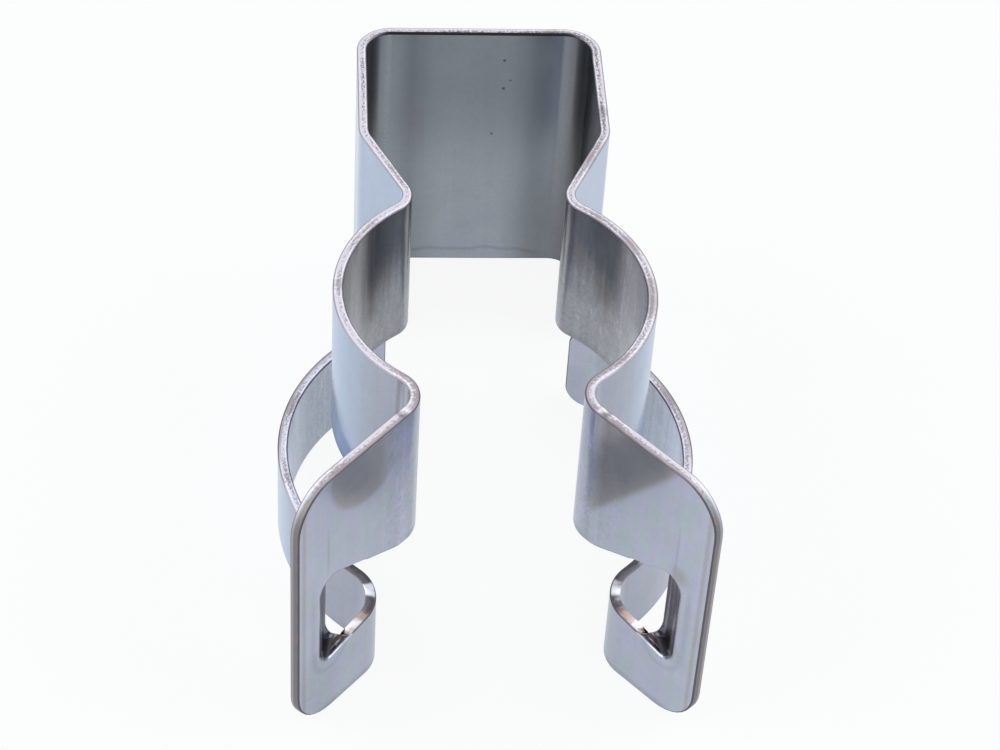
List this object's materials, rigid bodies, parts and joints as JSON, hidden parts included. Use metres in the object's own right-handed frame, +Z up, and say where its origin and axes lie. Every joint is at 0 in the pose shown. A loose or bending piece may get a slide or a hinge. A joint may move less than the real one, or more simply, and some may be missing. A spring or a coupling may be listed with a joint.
{
  "type": "heat exchanger clip",
  "caption": "Folded spring steel clip with a square back channel, a round pipe grip and splayed end plates whose lower parts curl back round the jaws as tongues.",
  "frame": {"origin": "centre of the bounding box seen from above, on the strip's lower edge", "axes": "+Z up across the strip, along the gripped pipe's axis; +Y from the open mouth towards the back wall; the mirror plane is X = 0"},
  "size_m": [0.033, 0.0546, 0.025],
  "materials": {
    "spring_steel": "satin"
  },
  "bodies": {
    "root": {"spring_clip": "spring_steel"}
  },
  "joints": []
}
